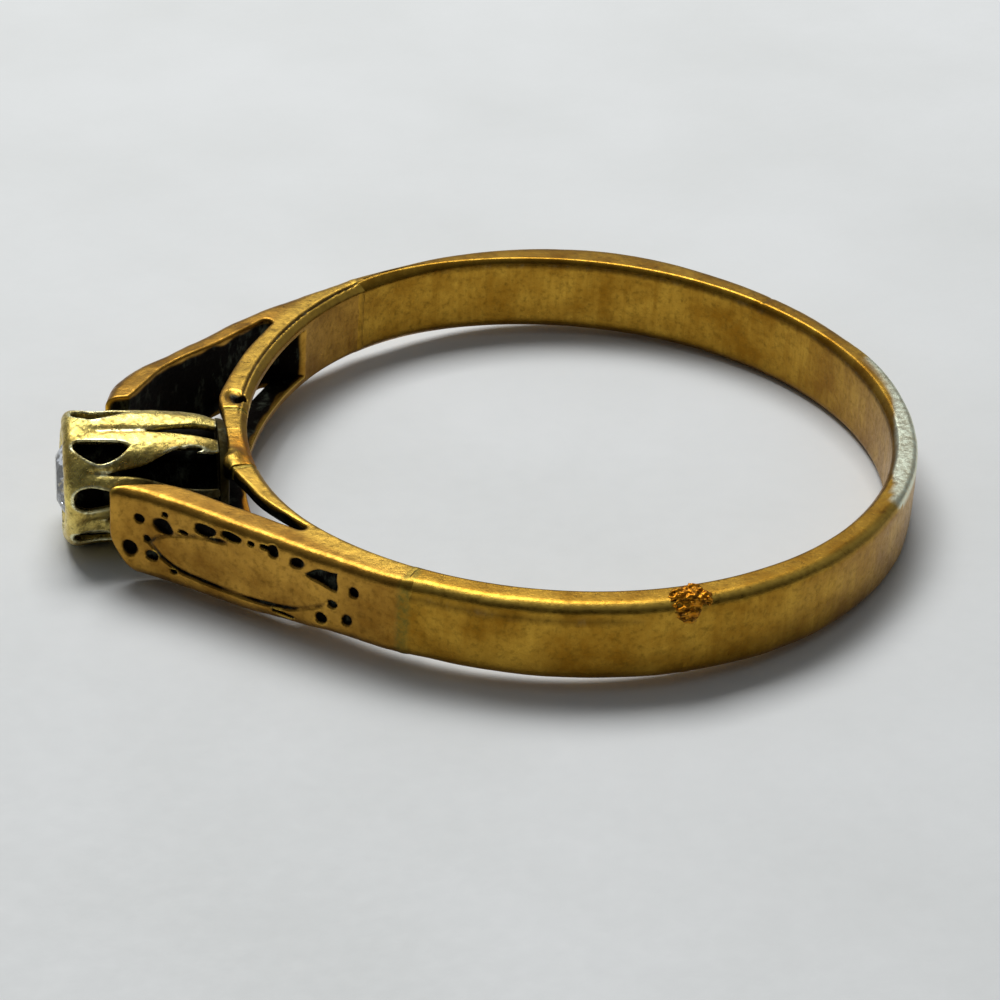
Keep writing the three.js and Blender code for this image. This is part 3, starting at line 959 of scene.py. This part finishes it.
def cut_stone():
    """A round brilliant: a table, a ring of kites and triangles, and a faceted cone below."""
    points = [
        *stone_ring(TABLE_RADIUS, TABLE_HEIGHT, 8),
        *stone_ring(KITE_RADIUS, GIRDLE_HEIGHT + 0.14, 8, 0.5),
        *stone_ring(STONE_RADIUS, GIRDLE_HEIGHT + 0.02, 16),
        *stone_ring(STONE_RADIUS, GIRDLE_HEIGHT - 0.02, 16),
        *stone_ring(BELLY_RADIUS, GIRDLE_HEIGHT - 0.45, 8),
        (0, 0, CULET_HEIGHT),
    ]
    mesh = bpy.data.meshes.new("cut_diamond")
    mesh.from_pydata([tuple(p * MM) for p in to_world(np.array(points))], [], stone_faces())
    face_outwards(mesh)
    finish_piece(add_object("cut_diamond", mesh), "diamond")


# ---- Materials ----
class Nodes:
    """A short way to write the nodes of a new material, or of a world."""

    def __init__(self, name, world=None):
        self.material = world or bpy.data.materials.new(name)
        self.material.use_nodes = True
        self.tree = self.material.node_tree
        self.tree.nodes.clear()
        self.output = self.add("ShaderNodeOutputWorld" if world else "ShaderNodeOutputMaterial")

    def add(self, kind, **settings):
        node = self.tree.nodes.new(kind)
        for key, value in settings.items():
            setattr(node, key, value)
        return node

    def shader(self):
        node = self.add("ShaderNodeBsdfPrincipled")
        self.put(self.output, "Surface", node.outputs["BSDF"])
        return node

    def put(self, node, socket, value):
        if isinstance(value, bpy.types.NodeSocket):
            self.tree.links.new(value, node.inputs[socket])
        else:
            node.inputs[socket].default_value = value

    def noise(self, scale, detail=4.0, roughness=0.55, stretch=(1, 1, 1)):
        mapping = self.add("ShaderNodeMapping")
        self.put(mapping, "Vector", self.add("ShaderNodeTexCoord").outputs["Object"])
        self.put(mapping, "Scale", tuple(s / MM for s in stretch))
        node = self.add("ShaderNodeTexNoise")
        self.put(node, "Vector", mapping.outputs["Vector"])
        self.put(node, "Scale", scale)
        self.put(node, "Detail", detail)
        self.put(node, "Roughness", roughness)
        return node.outputs["Fac"]

    def attribute(self, name):
        return self.add("ShaderNodeAttribute", attribute_name=name).outputs["Fac"]

    def span(self, value, low, high, to_low=0.0, to_high=1.0):
        node = self.add("ShaderNodeMapRange")
        limits = (("From Min", low), ("From Max", high), ("To Min", to_low), ("To Max", to_high))
        for socket, item in (("Value", value), *limits):
            self.put(node, socket, item)
        return node.outputs["Result"]

    def math(self, operation, a, b=0.0):
        node = self.add("ShaderNodeMath", operation=operation)
        self.put(node, 0, a)
        self.put(node, 1, b)
        return node.outputs[0]

    def mix(self, factor, a, b):
        node = self.add("ShaderNodeMix", data_type="RGBA")
        self.put(node, 0, factor)
        self.put(node, 6, a)
        self.put(node, 7, b)
        return node.outputs[2]

    def bump(self, height, strength, distance, normal=None):
        node = self.add("ShaderNodeBump")
        self.put(node, "Height", height)
        self.put(node, "Strength", strength)
        self.put(node, "Distance", distance * MM)
        if normal is not None:
            self.put(node, "Normal", normal)
        return node.outputs["Normal"]


def colour(*values):
    """A linear colour from sRGB values out of 255."""
    linear = [((c / 255 + 0.055) / 1.055) ** 2.4 if c > 10 else c / 255 / 12.92 for c in values]
    return (*linear, 1.0)


# Dark colour of dirt, also used as painted shade in hollows, pockets, crevices and under parts.
GRIME_AND_SHADE_DARK = colour(16, 12, 9)
# Grey-green smudges in the darkened areas, which also stand in for painted glints in the dark interior.
GREY_SMUDGES_AND_GLINTS = colour(92, 98, 84)
# Whitish tint of the filed flat, which also stands in for the painted glint it catches.
PALE_FLAT_AND_GLINT_TINT = colour(232, 238, 216)
# Orange of the solder lump, also used as a painted orange highlight on the saddle's near end.
WARM_STAIN_AND_HIGHLIGHT = colour(214, 132, 20)
GREEN_STAIN = colour(104, 108, 52)


def stained(n, fine, base):
    """The colour under its whitish flat with a painted glint, orange solder and painted orange highlight,
    green flux, and dirty darkening with painted shade, where marked.
    """
    for mark, tint, least, low, high in (
        ("pale_flat_and_glint", PALE_FLAT_AND_GLINT_TINT, 0.7, 0.4, 0.6), ("warm", WARM_STAIN_AND_HIGHLIGHT, 0.5, 0.35, 0.6),
        ("green", GREEN_STAIN, 0.4, 0.4, 0.6),
    ):
        share = n.math("MULTIPLY", n.attribute(mark), n.span(fine, low, high, least, 1.0))
        base = n.mix(share, base, tint)
    # Darkening for dirt and for painted shade together, wherever the marks ask for it.
    crust = n.noise(2.4, 6.0, 0.7, stretch=(1, 1, 0.5))
    dirt_and_shade = n.mix(n.span(crust, 0.52, 0.76), GRIME_AND_SHADE_DARK, GREY_SMUDGES_AND_GLINTS)
    return n.mix(n.attribute("grime_and_shade"), base, dirt_and_shade)


def worn_normal(n, fine, grain):
    """Fine waves, scratches and grain."""
    scratches = n.noise(9.0, 3.0, 0.7, stretch=(0.25, 1.0, 1.0))
    normal = n.bump(fine, 0.5 * grain, 0.03)
    normal = n.bump(scratches, 0.35 * grain, 0.012, normal)
    return n.bump(n.math("MULTIPLY", n.noise(16.0, 4.0, 0.7), grain), 0.6, 0.012, normal)


def old_gold(name, main, deep, polish_and_highlight_colour, tarnish, rough=0.34, grain=0.5, streaks=0.0, spots=0.5):
    """Worn gold: mottled patina, dirty darkening with painted shade where marked, and worn edges with
    painted highlights.
    """
    n = Nodes(name)
    shader = n.shader()
    n.put(shader, "Metallic", 1.0)
    broad = n.noise(0.9, 5.0, 0.6)
    fine = n.noise(7.0, 6.0, 0.65)
    specks = n.noise(22.0, 3.0, 0.6)
    lines = n.noise(5.0, 3.0, 0.6, stretch=(1, 1, 0.08))
    base = n.mix(n.span(broad, 0.36, 0.66), main, deep)
    base = n.mix(n.math("MULTIPLY", n.span(fine, 0.5, 0.72), 0.55), base, tarnish)
    base = n.mix(n.math("MULTIPLY", n.span(specks, 0.62, 0.75), spots), base, deep)
    if streaks:
        base = n.mix(n.math("MULTIPLY", n.span(lines, 0.45, 0.7), streaks), base, deep)
    # Worn edges lightened for wear and for painted highlights.
    edge_polish_and_highlight = n.math("MULTIPLY", n.attribute("wear"), n.span(fine, 0.3, 0.6, 0.55, 1.0))
    base = n.mix(edge_polish_and_highlight, base, polish_and_highlight_colour)
    n.put(shader, "Base Color", stained(n, fine, base))
    roughness = n.span(fine, 0.3, 0.75, rough - 0.08, rough + 0.14)
    dulled = n.math("MULTIPLY", n.attribute("grime_and_shade"), 0.25)
    n.put(shader, "Roughness", n.math("ADD", roughness, dulled))
    n.put(shader, "Normal", worn_normal(n, fine, grain))
    return n.material


def clear_stone():
    """A clear, slightly dusty stone."""
    n = Nodes("diamond_material")
    shader = n.shader()
    tint = n.mix(n.span(n.noise(3.0, 3.0), 0.3, 0.7), colour(244, 248, 255), colour(226, 232, 248))
    n.put(shader, "Base Color", tint)
    n.put(shader, "IOR", 2.4)
    n.put(shader, "Transmission Weight", 1.0)
    n.put(shader, "Roughness", n.span(n.noise(9.0, 5.0), 0.35, 0.8, 0.0, 0.06))
    n.put(shader, "Normal", n.bump(n.noise(30.0, 2.0), 0.05, 0.004))
    return n.material


SHANK = dict(
    main=colour(192, 149, 54), deep=colour(148, 104, 26),
    polish_and_highlight_colour=colour(255, 216, 100), tarnish=colour(116, 90, 26),
)
ARM = dict(
    main=colour(192, 146, 60), deep=colour(142, 100, 34),
    polish_and_highlight_colour=colour(255, 212, 92), tarnish=colour(110, 80, 22),
)
SOLDERED = dict(
    main=colour(160, 136, 56), deep=colour(110, 94, 34),
    polish_and_highlight_colour=colour(216, 190, 96), tarnish=colour(96, 96, 46),
)
PALE_GOLD = dict(
    main=colour(246, 224, 128), deep=colour(186, 156, 78),
    polish_and_highlight_colour=colour(255, 253, 206), tarnish=colour(112, 88, 38),
)
LOOKS = {
    "shank_long": dict(**SHANK, streaks=0.5),
    "shank_short": dict(**SHANK, streaks=0.3, spots=0.7),
    "sizing_seam": dict(**SHANK, rough=0.4, grain=0.8),
    "shoulder_solder_far_bead": dict(**SHANK, rough=0.38),
    "shoulder_solder_near_bead": dict(**SHANK, rough=0.38),
    "far_shoulder": dict(**ARM, grain=0.7),
    "near_shoulder": dict(**ARM, grain=0.6),
    "saddle_top": dict(**ARM, grain=0.9, spots=0.8),
    "saddle_bottom": dict(**ARM, grain=0.9, spots=0.8),
    "crown": dict(**PALE_GOLD, rough=0.28, grain=1.4, spots=0.7),
    "foot_ring": dict(**PALE_GOLD, rough=0.42),
    "inner_cup": dict(**PALE_GOLD, rough=0.4),
}
for side_name in ("upper", "lower"):
    for end_name in ("far", "near"):
        LOOKS[f"saddle_bead_{side_name}_{end_name}"] = dict(**SOLDERED, rough=0.45, grain=1.0)
MATERIALS = {name: old_gold(f"{name}_gold", **look) for name, look in LOOKS.items()}
MATERIALS["cut_diamond"] = clear_stone()


# ---- Build ----
def crown_marks(distance, points):
    """Dirty darkening with painted shade inside and between the petals, painted shade on the lower petal
    beside the front one, stains near their feet, and worn edges with painted highlights.
    """
    x, y, z = points.T
    edge, crevice = edge_and_crevice(distance, points, 0.08)
    depth = np.interp(z, CROWN_OUTSIDE[:, 1], CROWN_OUTSIDE[:, 0]) - np.hypot(x, y)
    # The crown's inner side is darkened for dirt and painted shade.
    inside = step(0.17, 0.25, depth + 0.02 * FINE_NOISE(x, y, z))
    inside = inside * (1 - step(HEAD_HEIGHT - 0.4, HEAD_HEIGHT - 0.2, z))
    # Painted shade on the lower part of the petal below the front one.
    shaded = within_petal(np.degrees(np.arctan2(y, x)), FRONT_PETAL - PETAL_PITCH)
    shaded = 0.9 * shaded * (1 - step(2.1, 2.9, z + 0.3 * BODY_NOISE(x, y, z)))
    mottle = FINE_NOISE(x * 2.3, y * 2.3, z * 2.3) + 0.5 * BODY_NOISE(x * 2, y * 2, z * 2)
    stain = step(0.3, 1.2, mottle - 0.2 * z + 0.3)
    dirt_and_shade = np.maximum(inside, step(0.4, 0.85, crevice))
    grime_and_shade = np.maximum(dirt_and_shade, np.maximum(shaded, 0.45 * stain))
    # Edges lightened for wear and for painted highlights.
    return {"grime_and_shade": grime_and_shade, "wear": step(0.12, 0.6, edge) * (1 - grime_and_shade)}


def build_saddle_beads():
    """The four beads of solder at the saddles' ends."""
    for side_name, side, foot, top in (("upper", 1, -0.1, 1.25), ("lower", -1, -1.25, 0.1)):
        for end_name, middle in (("far", SADDLE_END_FAR), ("near", SADDLE_END_NEAR)):
            across = SADDLE_RADIUS * math.sin(math.radians(middle))
            shape = solder_between(middle - SOLDER / 2, middle + SOLDER / 2, side, False)
            carve(f"saddle_bead_{side_name}_{end_name}", shape, (-9.1, across - 0.4, foot),
                  (-7.2, across + 0.4, top), 0.024,
                  f"saddle_solder_{side_name}_{end_name}", plain_marks)


def build_shoulders():
    for name, shape, low, high, size, node, mark in (
        ("far_shoulder", shoulder_far, (-11.9, 0.9, -1.2), (-3.6, 8.1, 1.2), 0.045,
         "shoulder_far", shoulder_marks),
        ("near_shoulder", shoulder_near, (-12.0, -8.0, -1.4), (-4.9, -1.7, 1.2), 0.042,
         "shoulder_near", shoulder_marks),
        ("saddle_top", saddle_upper, (-9.2, -2.3, -0.1), (-7.2, 1.4, 1.35), 0.032,
         "saddle_upper", saddle_marks),
        ("saddle_bottom", saddle_lower, (-9.2, -2.3, -1.3), (-7.2, 1.4, 0.1), 0.032,
         "saddle_lower", saddle_marks),
    ):
        carve(name, shape, low, high, size, node, mark)
    build_saddle_beads()
    for end_name, middle in (("far", SHOULDER_END_FAR), ("near", SHOULDER_END_NEAR)):
        spot = polar(middle, 8.9)
        node = f"shoulder_solder_{end_name}"
        carve(f"{node}_bead", solder_between(middle - BEAD, middle + BEAD, 0, True),
              (*(spot - 0.85), -1.25), (*(spot + 0.85), 1.25), 0.03, node, shoulder_marks)


def build_band():
    sizing_place = 360 + SIZING_JOINT
    near_end = 360 + SHOULDER_END_NEAR
    sweep_bar("shank_long", SHOULDER_END_FAR, sizing_place, "shank_long_section")
    sweep_bar("shank_short", sizing_place, near_end, "shank_short_section")
    spot = polar(SIZING_JOINT, 9.0)
    carve("sizing_seam", sizing_solder, (*(spot - 0.95), -1.25), (*(spot + 0.95), 1.35), 0.03,
          "sizing_solder_seam", lump_marks)


# The foot ring under the petals is painted dark all over: the shadow under them, with dirt.
def all_dirty_and_shaded(points):
    return {"grime_and_shade": np.full(len(points), 0.93)}


# The cup is painted dark below its rim, for dirt and for the shade inside the crown.
def dirty_and_shaded_below_rim(points):
    return {"grime_and_shade": 1 - step(3.5, 3.62, points[:, 2])}


def foot_ring_profile():
    low = -FOOT_RING_HEIGHT - 0.02
    return closed_smooth([
        (0.8, low + 0.02), (1.05, low), (FOOT_RADIUS - 0.02, low), (FOOT_RADIUS + 0.05, low + 0.06),
        (FOOT_RADIUS + 0.08, -0.05), (FOOT_RADIUS + 0.05, -0.02), (1.05, -0.02), (0.8, -0.03),
    ], 4)


# The cup reaches down near the crown's foot so that its dark outside fills the crown's openings with
# painted shade.
def cup_profile():
    """The cup from its foot up the outside, over its rim and down past the stone's seat."""
    ledge = CULET_HEIGHT + 0.42
    seat = STONE_RADIUS + 0.02
    throat = 0.52
    return [
        (CUP_FOOT_RADIUS, CUP_FOOT), (1.18, 1.3), (1.23, 2.3), (1.28, GIRDLE_HEIGHT - 0.22),
        (1.28, HEAD_HEIGHT - 0.07), (1.25, HEAD_HEIGHT - 0.04), (1.1, GIRDLE_HEIGHT + 0.09),
        (seat + 0.02, GIRDLE_HEIGHT + 0.06), (seat, GIRDLE_HEIGHT - 0.04), (throat, ledge),
        (throat, ledge - 0.12), (CUP_FOOT_RADIUS, ledge - 0.45), (CUP_FOOT_RADIUS - 0.14, CUP_FOOT),
    ]


def build_head():
    carve("crown", crown, (-1.85, -1.85, -0.1), (1.85, 1.85, HEAD_HEIGHT + 0.1), 0.034,
          "head_crown", crown_marks, to_world)
    lathe("foot_ring", foot_ring_profile(), 120, "head_foot_ring", all_dirty_and_shaded)
    lathe("inner_cup", cup_profile(), 120, "stone_cup", dirty_and_shaded_below_rim)
    cut_stone()


build_shoulders()
build_band()
build_head()


# ---- Floor, light and camera ----
def floor_material():
    n = Nodes("floor_material")
    shader = n.shader()
    cloud = n.span(n.noise(0.12, 5.0), 0.3, 0.7)
    n.put(shader, "Base Color", n.mix(cloud, colour(236, 238, 238), colour(228, 230, 229)))
    n.put(shader, "Roughness", n.span(n.noise(2.0), 0.3, 0.7, 0.6, 0.8))
    n.put(shader, "Normal", n.bump(n.noise(3.0, 5.0), 0.15, 0.05))
    return n.material


# The ring lies on the lowest point of its head and on the far edge of its band.
HEAD_LOW = (-12.3, -HEAD_RADIUS - 0.03)
BAND_LOW = (9.0, -HALF_WIDTH)
FLOOR_HALF = 900.0


def make_floor():
    """A plain square floor through both low points, level along Y."""
    slope = (BAND_LOW[1] - HEAD_LOW[1]) / (BAND_LOW[0] - HEAD_LOW[0])
    corners = []
    for x, y in ((-1, -1), (1, -1), (1, 1), (-1, 1)):
        along_x = x * FLOOR_HALF
        height = HEAD_LOW[1] + slope * (along_x - HEAD_LOW[0])
        corners.append((along_x * MM, y * FLOOR_HALF * MM, height * MM))
    mesh = bpy.data.meshes.new("floor")
    mesh.from_pydata(corners, [], [(0, 1, 2, 3)])
    mesh.materials.append(floor_material())
    add_object("floor", mesh)


def add_area(name, place, size, power):
    """A rectangular lamp that points at the middle of the ring."""
    light = bpy.data.lights.new(name, "AREA")
    light.shape = "RECTANGLE"
    light.size, light.size_y = size[0] * MM, size[1] * MM
    light.energy = power
    lamp = add_object(name, light)
    lamp.location = Vector(place) * MM
    lamp.rotation_euler = (-lamp.location).to_track_quat("-Z", "Y").to_euler()


def make_world():
    """A soft cool glow, brightest overhead and behind the ring and dim on the camera's side."""
    world = bpy.data.worlds.new("studio")
    bpy.context.scene.world = world
    n = Nodes("studio", world)
    slant = n.add("ShaderNodeVectorMath", operation="DOT_PRODUCT")
    n.put(slant, 0, n.add("ShaderNodeTexCoord").outputs["Generated"])
    n.put(slant, 1, (0.0, 0.4, 0.6))
    backdrop = n.add("ShaderNodeBackground")
    n.put(backdrop, "Color", (0.93, 0.97, 1.0, 1.0))
    n.put(backdrop, "Strength", n.span(slant.outputs["Value"], -0.05, 0.7, 0.015, 0.3))
    n.put(n.output, "Surface", backdrop.outputs[0])


CAMERA_PLACE = (-19.713, -76.507, 45.118)
CAMERA_RIGHT = (0.97815, -0.20089, 0.05356)
CAMERA_UP = (0.05762, 0.50945, 0.85857)
CAMERA_AHEAD = (0.19976, 0.83672, -0.50989)
LENS = 127.87


def make_camera():
    data = bpy.data.cameras.new("camera")
    data.sensor_width = 36.0
    data.lens = LENS
    data.clip_start = 0.001
    data.clip_end = 10.0
    camera = add_object("camera", data)
    right, up, ahead = Vector(CAMERA_RIGHT), Vector(CAMERA_UP), Vector(CAMERA_AHEAD)
    turn = Matrix((right, up, -ahead)).transposed()
    camera.matrix_world = Matrix.Translation(Vector(CAMERA_PLACE) * MM) @ turn.to_4x4()
    bpy.context.scene.camera = camera


make_floor()
make_world()
add_area("overhead", (-18, 92, 180), (140, 95), 0.325)
make_camera()
bpy.context.scene.view_settings.view_transform = "Standard"
